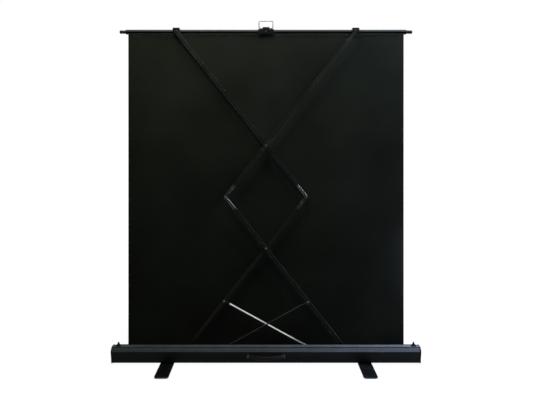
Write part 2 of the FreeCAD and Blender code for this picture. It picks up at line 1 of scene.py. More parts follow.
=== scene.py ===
import json
import math
import bmesh
import bpy
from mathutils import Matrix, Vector


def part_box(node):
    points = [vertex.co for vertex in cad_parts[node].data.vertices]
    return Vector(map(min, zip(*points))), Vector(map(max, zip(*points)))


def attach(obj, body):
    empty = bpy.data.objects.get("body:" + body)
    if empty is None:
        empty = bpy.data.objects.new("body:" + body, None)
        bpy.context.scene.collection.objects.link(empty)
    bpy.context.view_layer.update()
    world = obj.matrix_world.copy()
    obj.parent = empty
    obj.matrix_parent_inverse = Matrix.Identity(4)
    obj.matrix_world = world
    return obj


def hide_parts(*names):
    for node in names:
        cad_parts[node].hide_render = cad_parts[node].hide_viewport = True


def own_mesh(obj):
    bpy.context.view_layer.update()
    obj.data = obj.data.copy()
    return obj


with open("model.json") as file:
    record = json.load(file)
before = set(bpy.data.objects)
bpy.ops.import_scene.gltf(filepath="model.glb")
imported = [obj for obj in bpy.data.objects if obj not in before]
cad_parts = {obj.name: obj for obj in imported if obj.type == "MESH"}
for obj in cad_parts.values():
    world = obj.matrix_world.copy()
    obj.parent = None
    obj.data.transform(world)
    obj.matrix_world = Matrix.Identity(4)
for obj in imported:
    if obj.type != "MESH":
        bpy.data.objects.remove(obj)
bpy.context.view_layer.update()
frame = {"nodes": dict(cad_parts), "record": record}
nodes = frame["nodes"]
bodyOf = {node: body for body, held in frame["record"]["behaviour"]["bodies"].items() for node in held}
mm = 0.001


def selectOnly(piece):
    bpy.ops.object.select_all(action="DESELECT")
    piece.select_set(True)
    bpy.context.view_layer.objects.active = piece


def placed(piece):  # the piece's place and size go into its mesh
    selectOnly(piece)
    bpy.ops.object.transform_apply(location=True, rotation=True, scale=True)


def finishModifier(piece, kind, **settings):
    selectOnly(piece)
    modifier = piece.modifiers.new(kind.lower(), kind)
    for name, value in settings.items():
        setattr(modifier, name, value)
    bpy.ops.object.modifier_apply(modifier=modifier.name)


def smooth(piece, degrees):
    selectOnly(piece)
    bpy.ops.object.shade_smooth_by_angle(angle=math.radians(degrees))


def paint(piece, *finishes):
    piece.data.materials.clear()
    for finish in finishes:
        piece.data.materials.append(finish)


def belongs(piece, node):  # rides where its CAD node rides, and stands for it
    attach(piece, bodyOf[node])
    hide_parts(node)


# Materials

def linear(hexColour):
    parts = [int(hexColour[i:i + 2], 16) / 255 for i in (1, 3, 5)]
    return [p / 12.92 if p <= 0.04045 else ((p + 0.055) / 1.055) ** 2.4 for p in parts] + [1.0]


def addNode(tree, kind, links=None, stops=(), **settings):  # stops: place and hex colour along a ramp
    made = tree.nodes.new(kind)
    for name, value in settings.items():
        setattr(made, name, value)
    for stop, (place, colour) in zip(made.color_ramp.elements if stops else (), stops):
        stop.position = place
        stop.color = linear(colour)
    for socket, value in (links or {}).items():
        if isinstance(value, bpy.types.NodeSocket):
            tree.links.new(value, made.inputs[socket])
        else:
            made.inputs[socket].default_value = value
    return made


def startMaterial(name):
    material = bpy.data.materials.new(name)
    material.use_nodes = True
    tree = material.node_tree
    tree.nodes.clear()
    return material, tree


# One builder for the hard finishes: tone patches, a drawn-out or even grain, and rubbed spots
def hardFinish(name, look):
    material, tree = startMaterial(name)
    coords = addNode(tree, "ShaderNodeTexCoord")
    turned = addNode(tree, "ShaderNodeMapping", {
        "Vector": coords.outputs["Object"],
        "Rotation": (0, math.radians(look.get("turn", 0)), 0),
    })
    drawn = addNode(tree, "ShaderNodeMapping", {
        "Vector": turned.outputs["Vector"],
        "Scale": look.get("drawn", (1, 1, 1)),
    })
    patches = addNode(tree, "ShaderNodeTexNoise", {
        "Vector": turned.outputs["Vector"],
        "Scale": 1 / (look["patchMm"] * mm),
        "Detail": 4.0,
        "Roughness": 0.6,
    })
    grain = addNode(tree, "ShaderNodeTexNoise", {
        "Vector": drawn.outputs["Vector"],
        "Scale": 1 / (look["grainMm"] * mm),
        "Detail": 3.0,
    })
    tones = ((0.35, look["dark"]), (0.65, look["light"]))
    tone = addNode(tree, "ShaderNodeValToRGB", {"Fac": patches.outputs["Fac"]}, tones)
    lines = addNode(tree, "ShaderNodeValToRGB", {"Fac": grain.outputs["Fac"]}, tones)
    streak = addNode(tree, "ShaderNodeMix", {
        "Factor": look.get("streak", 0.15),
        "A": tone.outputs["Color"],
        "B": lines.outputs["Color"],
    }, data_type="RGBA")
    colour = streak.outputs["Result"]
    metal = look.get("metal", 0.0)
    rough = addNode(tree, "ShaderNodeMapRange", {
        "Value": patches.outputs["Fac"],
        "From Min": 0.3, "From Max": 0.7,
        "To Min": look["rough"][0], "To Max": look["rough"][1],
    })
    if "rubbed" in look:
        spots = addNode(tree, "ShaderNodeTexNoise", {
            "Vector": turned.outputs["Vector"],
            "Scale": 1 / (look["rubbedMm"] * mm),
            "Detail": 6.0,
            "Roughness": 0.7,
        })
        share = addNode(tree, "ShaderNodeMapRange", {
            "Value": spots.outputs["Fac"],
            "From Min": look["rubbedFrom"], "From Max": look["rubbedFrom"] + 0.12,
            "To Min": 0.0, "To Max": 1.0,
        })
        worn = addNode(tree, "ShaderNodeMix", {
            "Factor": share.outputs["Result"],
            "A": colour,
            "B": linear(look["rubbed"]),
        }, data_type="RGBA")
        colour = worn.outputs["Result"]
        metal = addNode(tree, "ShaderNodeMapRange", {
            "Value": share.outputs["Result"],
            "To Min": look.get("metal", 0.0), "To Max": 1.0,
        }).outputs["Result"]
    bump = addNode(tree, "ShaderNodeBump", {
        "Height": grain.outputs["Fac"],
        "Strength": look.get("grainStrength", 0.3),
        "Distance": look["grainDepthMm"] * mm,
    })
    shader = addNode(tree, "ShaderNodeBsdfPrincipled", {
        "Base Color": colour,
        "Metallic": metal,
        "Roughness": rough.outputs["Result"],
        "Specular IOR Level": look.get("specular", 0.5),
        "Normal": bump.outputs["Normal"],
    })
    if "ior" in look:
        shader.inputs["IOR"].default_value = look["ior"]
    addNode(tree, "ShaderNodeOutputMaterial", {"Surface": shader.outputs["BSDF"]})
    return material


# dull powder coat on extruded aluminium: charcoal black with a slight orange peel, pale where light falls from above
powderCoat = hardFinish("powderCoatedAluminium", {
    "dark": "#272a29", "light": "#2f3332", "rough": (0.46, 0.58), "specular": 0.03, "ior": 1.5,
    "patchMm": 160, "grainMm": 2.2, "grainDepthMm": 0.12, "grainStrength": 0.25,
})
# the same coat thinned over corners, where handling lets some metal through
powderCoatEdge = hardFinish("powderCoatedAluminiumEdge", {
    "dark": "#303433", "light": "#3e4342", "rough": (0.36, 0.5), "specular": 0.06, "ior": 1.5,
    "patchMm": 40, "grainMm": 2.2, "grainDepthMm": 0.08,
    "rubbed": "#9a9d9e", "rubbedMm": 14, "rubbedFrom": 0.62,
})
armLook = {
    "dark": "#10120f", "light": "#191c18", "rough": (0.36, 0.5), "metal": 0.1, "specular": 0.04,
    "patchMm": 120, "grainMm": 1.5, "drawn": (0.02, 1, 1), "streak": 0.5,
    "grainDepthMm": 0.05, "grainStrength": 0.3,
}
# corner tone: lighter than the face as a painted highlight, plus rubbed spots of wear
armEdgeHighlightLook = dict(armLook, dark="#34373a", light="#63676a", rough=(0.25, 0.4),
                   rubbed="#c3c6c8", rubbedMm=30, rubbedFrom=0.5)
armLow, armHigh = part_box("lower_arm_outer")
armTurn = math.degrees(math.atan2(armHigh.z - armLow.z, armHigh.x - armLow.x))  # slope of the open arms
# black anodised channel, drawn lengthwise; the streaks follow each arm
armRisingRight = hardFinish("anodisedAluminiumRisingRight", dict(armLook, turn=armTurn))
armRisingLeft = hardFinish("anodisedAluminiumRisingLeft", dict(armLook, turn=-armTurn))
# the channel's corners painted lighter all along as a painted highlight, with rubbed bright spots of wear
armEdgeHighlightRight = hardFinish("anodisedAluminiumEdgeWearAndPaintedHighlightRight", dict(armEdgeHighlightLook, turn=armTurn))
armEdgeHighlightLeft = hardFinish("anodisedAluminiumEdgeWearAndPaintedHighlightLeft", dict(armEdgeHighlightLook, turn=-armTurn))
# stoved black enamel on the steel feet: smooth and glossy, so it mirrors the dark case above it
enamel = hardFinish("blackEnamelledSteel", {
    "dark": "#040505", "light": "#080909", "rough": (0.2, 0.3), "specular": 0.2, "ior": 1.5,
    "patchMm": 60, "grainMm": 3, "grainDepthMm": 0.04, "grainStrength": 0.2,
})
# the enamel worn thin over the rim
enamelEdge = hardFinish("blackEnamelledSteelEdge", {
    "dark": "#121413", "light": "#1c1f1e", "rough": (0.24, 0.36), "specular": 0.4, "ior": 1.5,
    "patchMm": 30, "grainMm": 3, "grainDepthMm": 0.04,
    "rubbed": "#5c5f60", "rubbedMm": 12, "rubbedFrom": 0.7,
})
# zinc-plated steel: pale grey metal with faint cloudy passivation
zincSteel = hardFinish("zincPlatedSteel", {
    "dark": "#a3a6a8", "light": "#cfd2d2", "rough": (0.26, 0.42), "metal": 1.0,
    "patchMm": 22, "grainMm": 0.9, "grainDepthMm": 0.03, "grainStrength": 0.3,
})
# zinc on the bare brace, its colour pushed almost white as a painted highlight, with a satin glint along its length
zincPaintedGlint = hardFinish("zincSteelBarPaintedGlint", {
    "dark": "#d9d9d2", "light": "#f3f3ec", "rough": (0.3, 0.42), "metal": 0.6, "specular": 0.5,
    "patchMm": 30, "grainMm": 1.0, "grainDepthMm": 0.03, "grainStrength": 0.3,
})
# phosphated steel plate: near black, slightly oily
blackSteel = hardFinish("phosphatedSteel", {
    "dark": "#171919", "light": "#242626", "rough": (0.4, 0.55), "metal": 0.1, "specular": 0.08,
    "patchMm": 22, "grainMm": 1.2, "grainDepthMm": 0.05,
})
# the plate's edges painted pale grey all round: partly bare sheared steel, partly a painted highlight
blackSteelEdgeBareAndHighlight = hardFinish("phosphatedSteelEdgeBareAndPaintedHighlight", {
    "dark": "#9b9ea0", "light": "#c9cbcc", "rough": (0.3, 0.42), "metal": 0.25, "specular": 0.3,
    "patchMm": 16, "grainMm": 1.0, "grainDepthMm": 0.03,
})
# dull nickel on pin and rivet heads: grey, handled smooth
nickelHead = hardFinish("dullNickelSteel", {
    "dark": "#3c3f40", "light": "#585b5c", "rough": (0.32, 0.46), "metal": 0.8,
    "patchMm": 5, "grainMm": 0.9, "grainDepthMm": 0.03,
})
# black chromed wire: smoky mirror with finger smears
chromeWire = hardFinish("blackChromedSteelWire", {
    "dark": "#4e5153", "light": "#6a6d70", "rough": (0.12, 0.24), "metal": 1.0,
    "patchMm": 9, "grainMm": 3, "grainDepthMm": 0.01, "grainStrength": 0.2,
})
# moulded nylon: spark-eroded grain, drawn coarser than its real 0.3 mm so that it shows
nylon = hardFinish("mouldedNylon", {
    "dark": "#121313", "light": "#1a1b1b", "rough": (0.42, 0.56), "specular": 0.08, "ior": 1.53,
    "patchMm": 30, "grainMm": 1.1, "grainDepthMm": 0.12, "grainStrength": 0.4,
})
nylonEdge = hardFinish("mouldedNylonEdge", {
    "dark": "#191a1a", "light": "#282a2a", "rough": (0.34, 0.46), "specular": 0.12, "ior": 1.53,
    "patchMm": 12, "grainMm": 1.1, "grainDepthMm": 0.06,
})
# the bar's fittings: the same nylon made a deeper black, with the same grain
nylonDeep = hardFinish("deeperBlackNylon", {
    "dark": "#060707", "light": "#0b0c0c", "rough": (0.42, 0.56), "specular": 0.03, "ior": 1.53,
    "patchMm": 30, "grainMm": 1.1, "grainDepthMm": 0.12, "grainStrength": 0.4,
})
# calendered vinyl over a flexible core: low leather grain
vinyl = hardFinish("grainedVinyl", {
    "dark": "#121213", "light": "#1d1d1e", "rough": (0.38, 0.55), "specular": 0.05, "ior": 1.54,
    "patchMm": 18, "grainMm": 1.6, "grainDepthMm": 0.25, "grainStrength": 0.5,
})
# moulded rubber: dull, with a dusty tone
rubber = hardFinish("mouldedRubber", {
    "dark": "#111111", "light": "#1d1d1c", "rough": (0.7, 0.85), "ior": 1.52,
    "patchMm": 12, "grainMm": 0.8, "grainDepthMm": 0.1, "grainStrength": 0.4,
})
# mill-finish aluminium tube, drawn lengthwise
millAluminium = hardFinish("millFinishAluminium", {
    "dark": "#9fa2a4", "light": "#c4c6c7", "rough": (0.32, 0.45), "metal": 1.0,
    "patchMm": 80, "grainMm": 1.0, "drawn": (0.02, 1, 1), "streak": 0.5,
    "grainDepthMm": 0.03,
})
# oiled spring steel: dark blue-grey metal
springSteel = hardFinish("oiledSpringSteel", {
    "dark": "#4b4e53", "light": "#6c6f74", "rough": (0.28, 0.4), "metal": 1.0,
    "patchMm": 14, "grainMm": 1.0, "grainDepthMm": 0.03,
})
print("hard finishes made")


# coated screen cloth: thread lines over slow tone clouds; threads are really 0.5 mm, drawn coarser to show
def clothFinish(name, look):
    material, tree = startMaterial(name)
    coords = addNode(tree, "ShaderNodeTexCoord")
    waveScale = math.pi / 10 / (look["threadMm"] * mm)
    across = addNode(tree, "ShaderNodeTexWave", {
        "Vector": coords.outputs["Object"], "Scale": waveScale, "Distortion": 0.6, "Detail": 1.0,
    }, bands_direction="X")
    along = addNode(tree, "ShaderNodeTexWave", {
        "Vector": coords.outputs["Object"], "Scale": waveScale, "Distortion": 0.6, "Detail": 1.0,
    }, bands_direction="Z")
    weave = addNode(tree, "ShaderNodeMath", {0: across.outputs["Fac"], 1: along.outputs["Fac"]}, operation="ADD")
    clouds = addNode(tree, "ShaderNodeTexNoise", {
        "Vector": coords.outputs["Object"], "Scale": 1 / (look["cloudMm"] * mm), "Detail": 5.0,
    })
    tone = addNode(tree, "ShaderNodeValToRGB", {"Fac": clouds.outputs["Fac"]},
                   ((0.3, look["dark"]), (0.7, look["light"])))
    threads = addNode(tree, "ShaderNodeMapRange", {
        "Value": weave.outputs["Value"], "From Max": 2.0,
        "To Min": 1 - look["threadTone"], "To Max": 1.0,
    })
    colour = addNode(tree, "ShaderNodeMix", {
        "Factor": 1.0, "A": tone.outputs["Color"], "B": threads.outputs["Result"],
    }, data_type="RGBA", blend_type="MULTIPLY")
    rough = addNode(tree, "ShaderNodeMapRange", {
        "Value": clouds.outputs["Fac"], "To Min": look["rough"][0], "To Max": look["rough"][1],
    })
    bump = addNode(tree, "ShaderNodeBump", {
        "Height": weave.outputs["Value"], "Strength": 0.25, "Distance": look["threadDepthMm"] * mm,
    })
    shader = addNode(tree, "ShaderNodeBsdfPrincipled", {
        "Base Color": colour.outputs["Result"],
        "Roughness": rough.outputs["Result"],
        "Specular IOR Level": look["specular"],
        "Normal": bump.outputs["Normal"],
    })
    addNode(tree, "ShaderNodeOutputMaterial", {"Surface": shader.outputs["BSDF"]})
    return material


clothBack = clothFinish("coatedClothBlackBack", {
    "dark": "#141612", "light": "#1b1e19", "rough": (0.7, 0.82), "specular": 0.005,
    "threadMm": 4.0, "threadTone": 0.12, "threadDepthMm": 0.2, "cloudMm": 420,
})
clothFront = clothFinish("matteWhiteViewingCloth", {
    "dark": "#e2e2dd", "light": "#ecece8", "rough": (0.85, 0.95), "specular": 0.3,
    "threadMm": 4.0, "threadTone": 0.04, "threadDepthMm": 0.1, "cloudMm": 420,
})
clothBorder = clothFinish("blackPrintedBorder", {
    "dark": "#131413", "light": "#191a19", "rough": (0.7, 0.8), "specular": 0.3,
    "threadMm": 4.0, "threadTone": 0.1, "threadDepthMm": 0.1, "cloudMm": 300,
})
print("cloth finishes made")


# Rigid pieces: each CAD shape with its corners rounded as made, and the rounding painted as a rubbed edge; on the
# arms and tongues the lighter corner is also a painted highlight
roundLook = {
    "mergeMm": 0.002, "flatDegrees": 0.5, "sharpDegrees": 28, "smoothDegrees": 27,
    "rimEdgeMm": 0.9,  # facets of small holes are shorter than this
}


def spareSmallRims(piece, sharp):  # marks the corners to round, without the small rims that would fold over
    rim = roundLook["rimEdgeMm"] * mm
    shape = bmesh.new()
    shape.from_mesh(piece.data)
    weight = shape.edges.layers.float.new("bevel_weight_edge")
    for edge in shape.edges:
        edge[weight] = float(edge.calc_face_angle(0) > sharp and edge.calc_length() > rim)
    shape.to_mesh(piece.data)
    shape.free()


def roundedCopy(node, edgeMm, faceFinish, edgeFinish, steps=2, spareRims=False, clamp=True):
    piece = bpy.data.objects.new(node + "_made", nodes[node].data.copy())
    bpy.context.collection.objects.link(piece)
    paint(piece, faceFinish, edgeFinish)
    for face in piece.data.polygons:
        face.material_index = 0
    selectOnly(piece)
    bpy.ops.object.mode_set(mode="EDIT")
    bpy.ops.mesh.select_all(action="SELECT")
    bpy.ops.mesh.remove_doubles(threshold=roundLook["mergeMm"] * mm)
    bpy.ops.mesh.dissolve_limited(angle_limit=math.radians(roundLook["flatDegrees"]))
    bpy.ops.object.mode_set(mode="OBJECT")
    sharp = math.radians(roundLook["sharpDegrees"])
    if spareRims:
        spareSmallRims(piece, sharp)
    finishModifier(piece, "BEVEL", width=edgeMm * mm, segments=steps, angle_limit=sharp, material=1,
                   limit_method="WEIGHT" if spareRims else "ANGLE", use_clamp_overlap=clamp)
    smooth(piece, roundLook["smoothDegrees"])
    belongs(piece, node)
    return piece


# rounding in mm, its steps, face finish, corner finish, and the CAD nodes
roundedNodes = [
    (0.8, 2, powderCoat, powderCoatEdge, ["back_shell", "front_shell"]),
    (0.5, 2, powderCoat, powderCoatEdge, ["case_floor"]),
    (0.35, 2, armRisingRight, armEdgeHighlightRight, ["upper_arm_outer", "lower_arm_inner"]),
    (0.35, 2, armRisingLeft, armEdgeHighlightLeft, ["upper_arm_inner", "lower_arm_outer"]),
    (1.5, 4, nickelHead, nickelHead, [  # domed heads
        "elbow_pin_outer", "elbow_pin_inner", "upper_cross_pin", "lower_cross_pin", "brace_pin_outer",
        "brace_pin_inner",
    ]),
    (1.5, 4, blackSteel, blackSteel, ["centre_rivet"]),
    (0.6, 2, zincSteel, zincSteel, ["foot_bolts", "foot_washers"]),
    (0.3, 2, zincSteel, zincSteel, [
        "slide_rail_outer", "slide_rail_inner", "roller_bracket_left", "roller_bracket_right",
    ]),
    (0.8, 2, nylon, nylonEdge, [
        "end_cap_left", "end_cap_right", "cross_sleeve", "bar_tip_left", "bar_tip_right", "hook_bases",
        "brace_glide_outer", "brace_glide_inner", "arm_glide_outer", "arm_glide_inner",
        "roller_plug_left", "roller_plug_right",
    ]),
    (0.8, 2, nylonDeep, nylon, ["carriage_left", "carriage_right", "bail_bracket"]),
    (1.2, 3, nylon, nylonEdge, ["strap_end_left", "strap_end_right"]),
    (0.8, 2, rubber, rubber, ["foot_pads_left", "foot_pads_right"]),
    (0.4, 2, millAluminium, millAluminium, ["roller_tube"]),
    (0.3, 2, springSteel, springSteel, ["roller_spring"]),
]
# the short edges round the holes of these would clamp the rounding to nothing, or fold over
sparedNodes = [
    "carriage_left", "carriage_right", "bail_bracket", "end_cap_left", "end_cap_right", "cross_sleeve", "hook_bases",
    "roller_bracket_left", "roller_bracket_right",
]
for edgeMm, steps, faceFinish, edgeFinish, names in roundedNodes:
    for node in names:
        spare = node in sparedNodes
        roundedCopy(node, edgeMm, faceFinish, edgeFinish, steps, spareRims=spare, clamp=not spare)
roundedCopy("top_bar", 0.8, powderCoat, powderCoat, spareRims=True)
for node in ("latch_hook_left", "latch_hook_right"):
    roundedCopy(node, 0.8, nylon, nylonEdge, spareRims=True)
# the two tongues sloping down to the right get the pale edge as a painted highlight; the two sloping the other way
# keep the darker arm edge
for node in ("upper_tongue_inner", "lower_tongue_outer"):
    roundedCopy(node, 1.5, blackSteel, blackSteelEdgeBareAndHighlight, 3, spareRims=True, clamp=False)
for node in ("upper_tongue_outer", "lower_tongue_inner"):
    roundedCopy(node, 0.9, blackSteel, armEdgeHighlightRight, spareRims=True, clamp=False)


# Braces: round-edged flat bars, blackened over the eye that turns on the arm
braceLook = {"edgeMm": 1.8, "steps": 4, "blackMm": 40}


def brace(node, pin, finish, edgeFinish):
    bar = roundedCopy(node, braceLook["edgeMm"], finish, edgeFinish, braceLook["steps"], spareRims=True, clamp=False)
    low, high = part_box(pin)
    eye = (low + high) / 2
    low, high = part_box(node)
    side = 1 if eye.x < (low.x + high.x) / 2 else -1
    along = Vector((side * (high.x - low.x), 0, low.z - high.z)).normalized()
    cut = eye + along * braceLook["blackMm"] * mm
    bar.data.materials.append(blackSteel)
    selectOnly(bar)
    bpy.ops.object.mode_set(mode="EDIT")
    bpy.ops.mesh.select_all(action="SELECT")
    bpy.ops.mesh.bisect(plane_co=cut, plane_no=along)
    bpy.ops.object.mode_set(mode="OBJECT")
    for face in bar.data.polygons:
        if (face.center - cut).dot(along) < 0:
            face.material_index = 2


# this brace, rising to the right, keeps the dark arm finish: painted shade beside its painted-bright twin
brace("brace_outer", "brace_pin_outer", armRisingRight, powderCoatEdge)
brace("brace_inner", "brace_pin_inner", zincPaintedGlint, blackSteel)  # its rounded edges painted dark: painted shade that keeps the bright line narrow
paint(nodes["bail"], chromeWire)
print("rigid pieces rounded and painted")


# Feet: the flat bar with both ends pressed down to a low nose
noseLook = {"lengthMm": 18, "dropMm": 5.6, "cuts": 8, "edgeMm": 0.8}


def pressedFoot(node):
    foot = roundedCopy(node, noseLook["edgeMm"], enamel, enamelEdge)
    low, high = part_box(node)
    length = noseLook["lengthMm"] * mm
    drop = noseLook["dropMm"] * mm
    radius = (length ** 2 + drop ** 2) / (2 * drop)
    selectOnly(foot)
    bpy.ops.object.mode_set(mode="EDIT")
    for end, sign in ((low.y, 1), (high.y, -1)):
        for i in range(1, noseLook["cuts"] + 1):
            bpy.ops.mesh.select_all(action="SELECT")
            bpy.ops.mesh.bisect(plane_co=(0, end + sign * length * i / noseLook["cuts"], 0), plane_no=(0, 1, 0))
    bpy.ops.object.mode_set(mode="OBJECT")
    thickness = high.z - low.z
    for vertex in foot.data.vertices:
        into = length - min(vertex.co.y - low.y, high.y - vertex.co.y)
        if into > 0:
            share = (vertex.co.z - low.z) / thickness  # the flat underside stays
            vertex.co.z -= share * (radius - math.sqrt(radius ** 2 - into ** 2))
    smooth(foot, 30)


for node in ("foot_left", "foot_right"):
    pressedFoot(node)
print("feet pressed")


# Screws: pan heads with a cross recess
screwLook = {"slotMm": 1.1, "slotShare": 0.62, "depthMm": 1.1, "edgeMm": 0.7, "steps": 3}


def crossRecess(head):  # head: one screw, whose thin side is its axis
    corners = [Vector(v.co) for v in head.data.vertices]
    low = Vector([min(c[i] for c in corners) for i in range(3)])
    high = Vector([max(c[i] for c in corners) for i in range(3)])
    middle = (low + high) / 2
    axis = 1 if middle.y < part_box("back_shell")[0].y or abs(middle.x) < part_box("bar_tip_right")[0].x else 0
    outward = -1 if axis == 1 or middle.x < 0 else 1
    tip = high[axis] if outward > 0 else low[axis]
    across = [i for i in range(3) if i != axis]
    wide = high[across[0]] - low[across[0]]
    for long, short in (across, across[::-1]):
        size = [0, 0, 0]
        size[axis] = 2 * screwLook["depthMm"] * mm
        size[long] = wide * screwLook["slotShare"]
        size[short] = screwLook["slotMm"] * mm
        place = Vector(middle)
        place[axis] = tip
        bpy.ops.object.select_all(action="DESELECT")
        bpy.ops.mesh.primitive_cube_add(size=1, location=place)
        cutter = bpy.context.object
        cutter.scale = size
        placed(cutter)
        finishModifier(head, "BOOLEAN", object=cutter, operation="DIFFERENCE", solver="EXACT")
        bpy.data.objects.remove(cutter, do_unlink=True)


def crossHeadScrews(node, finish):
    screws = roundedCopy(node, screwLook["edgeMm"], finish, finish, screwLook["steps"])
    selectOnly(screws)
    bpy.ops.object.mode_set(mode="EDIT")
    bpy.ops.mesh.select_all(action="SELECT")
    bpy.ops.mesh.separate(type="LOOSE")
    bpy.ops.object.mode_set(mode="OBJECT")
    heads = list(bpy.context.selected_objects)
    for head in heads:
        crossRecess(head)
    bpy.ops.object.select_all(action="DESELECT")
    for head in heads:
        head.select_set(True)
    bpy.context.view_layer.objects.active = screws
    bpy.ops.object.join()
    smooth(screws, 30)


crossHeadScrews("case_screws", nickelHead)
for node in ("carriage_screw_left", "carriage_screw_right"):
    crossHeadScrews(node, blackSteel)
print("screws cut")


# Screen cloth: one stretched sheet, black behind and white with a black border in front
clothLook = {
    "columns": 113, "rows": 128, "borderColumns": 3, "borderRows": 3, "thicknessMm": 0.8,
    "edgeCurlMm": 2.2, "edgeCurlReachMm": 70, "waveMm": 0.9, "waveLengthMm": 610, "wavePhase": 0.6,
    "foldGapMm": 2.5,
}


def screenCloth():
    low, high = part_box("fabric")
    width = high.x - low.x
    height = high.z - low.z
    middle = (low + high) / 2
    bpy.ops.object.select_all(action="DESELECT")
    bpy.ops.mesh.primitive_grid_add(
        x_subdivisions=clothLook["columns"], y_subdivisions=clothLook["rows"], size=1,
        location=middle, rotation=(math.radians(90), 0, 0))
    cloth = bpy.context.object
    cloth.name = "screen_cloth"
    cloth.scale = (width, height, 1)
    placed(cloth)
    curl = clothLook["edgeCurlMm"] * mm
    reach = clothLook["edgeCurlReachMm"] * mm
    wave = clothLook["waveMm"] * mm
    for vertex in cloth.data.vertices:  # slack edges curl back a little, and long soft waves run down from the bar
        x, z = vertex.co.x, vertex.co.z
        fromEdge = width / 2 - abs(x - middle.x)
        held = math.sin(math.pi * (z - low.z) / height)
        phase = 2 * math.pi * x / (clothLook["waveLengthMm"] * mm) + clothLook["wavePhase"]
        ripple = math.sin(phase) * wave * held
        vertex.co.y += ripple + curl * held * math.exp(-fromEdge / reach)
    paint(cloth, clothBack, clothFront, clothBorder)
    columnWidth = width / clothLook["columns"]
    rowHeight = height / clothLook["rows"]
    finishModifier(cloth, "SOLIDIFY", thickness=clothLook["thicknessMm"] * mm, offset=0)
    for face in cloth.data.polygons:
        if face.normal.y < 0.5:
            face.material_index = 0
            continue
        fromSide = width / 2 - abs(face.center.x - middle.x)
        fromEnd = min(face.center.z - low.z, high.z - face.center.z)
        border = fromSide < columnWidth * clothLook["borderColumns"] or fromEnd < rowHeight * clothLook["borderRows"]
        face.material_index = 2 if border else 1
    smooth(cloth, 60)
    belongs(cloth, "fabric")
    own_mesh(cloth)


screenCloth()
print("screen cloth hung")


# Hem: a flattened pocket of the same cloth, welded below the bar
hemLook = {"cornerMm": 2.4, "steps": 4}


def hemPocket():
    low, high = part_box("hem")
    bpy.ops.object.select_all(action="DESELECT")
    bpy.ops.mesh.primitive_cube_add(size=1, location=(low + high) / 2)
    hem = bpy.context.object
    hem.name = "hem_pocket"
    hem.scale = high - low
    placed(hem)
    finishModifier(hem, "BEVEL", width=hemLook["cornerMm"] * mm, segments=hemLook["steps"], limit_method="ANGLE")
    paint(hem, clothBack)
    smooth(hem, 50)
    belongs(hem, "hem")


hemPocket()


# Cloth still on the roller: a spiral of a few turns
rollLook = {"turns": 2, "stepsPerTurn": 48, "thicknessMm": 0.4}


def woundCloth():
    low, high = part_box("wound_fabric")
    axisY = (low.y + high.y) / 2
    axisZ = (low.z + high.z) / 2
    outer = (high.z - low.z) / 2 - rollLook["thicknessMm"] * mm / 2
    tubeLow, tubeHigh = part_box("roller_tube")
    inner = (tubeHigh.z - tubeLow.z) / 2 + rollLook["thicknessMm"] * mm / 2
    count = rollLook["turns"] * rollLook["stepsPerTurn"]
    points = []
    for i in range(count + 1):
        angle = math.pi + 2 * math.pi * i / rollLook["stepsPerTurn"]
        radius = inner + (outer - inner) * i / count
        points.append((low.x, axisY + radius * math.cos(angle), axisZ + radius * math.sin(angle)))
    mesh = bpy.data.meshes.new("wound_cloth")
    mesh.from_pydata(points, [(i, i + 1) for i in range(count)], [])
    roll = bpy.data.objects.new("wound_cloth", mesh)
    bpy.context.collection.objects.link(roll)
    selectOnly(roll)
    bpy.ops.object.mode_set(mode="EDIT")
    bpy.ops.mesh.select_all(action="SELECT")
    bpy.ops.mesh.extrude_region_move(TRANSFORM_OT_translate={"value": (high.x - low.x, 0, 0)})
    bpy.ops.mesh.select_all(action="SELECT")
    bpy.ops.mesh.normals_make_consistent(inside=False)
    bpy.ops.object.mode_set(mode="OBJECT")
    finishModifier(roll, "SOLIDIFY", thickness=rollLook["thicknessMm"] * mm, offset=0)
    paint(roll, clothBack)
    smooth(roll, 50)
    belongs(roll, "wound_fabric")


woundCloth()
print("hem and roll made")


# Carry strap: a vinyl strap bowed off the case, with a raised middle and a moulded end at each screw
strapLook = {
    "thicknessMm": 4.0, "edgeMm": 1.4, "edgeSteps": 3, "ribInsetMm": 3.5, "ribHeightMm": 0.9, "steps": 40,
    "outward": 0.9, "middleShare": 0.25,
}


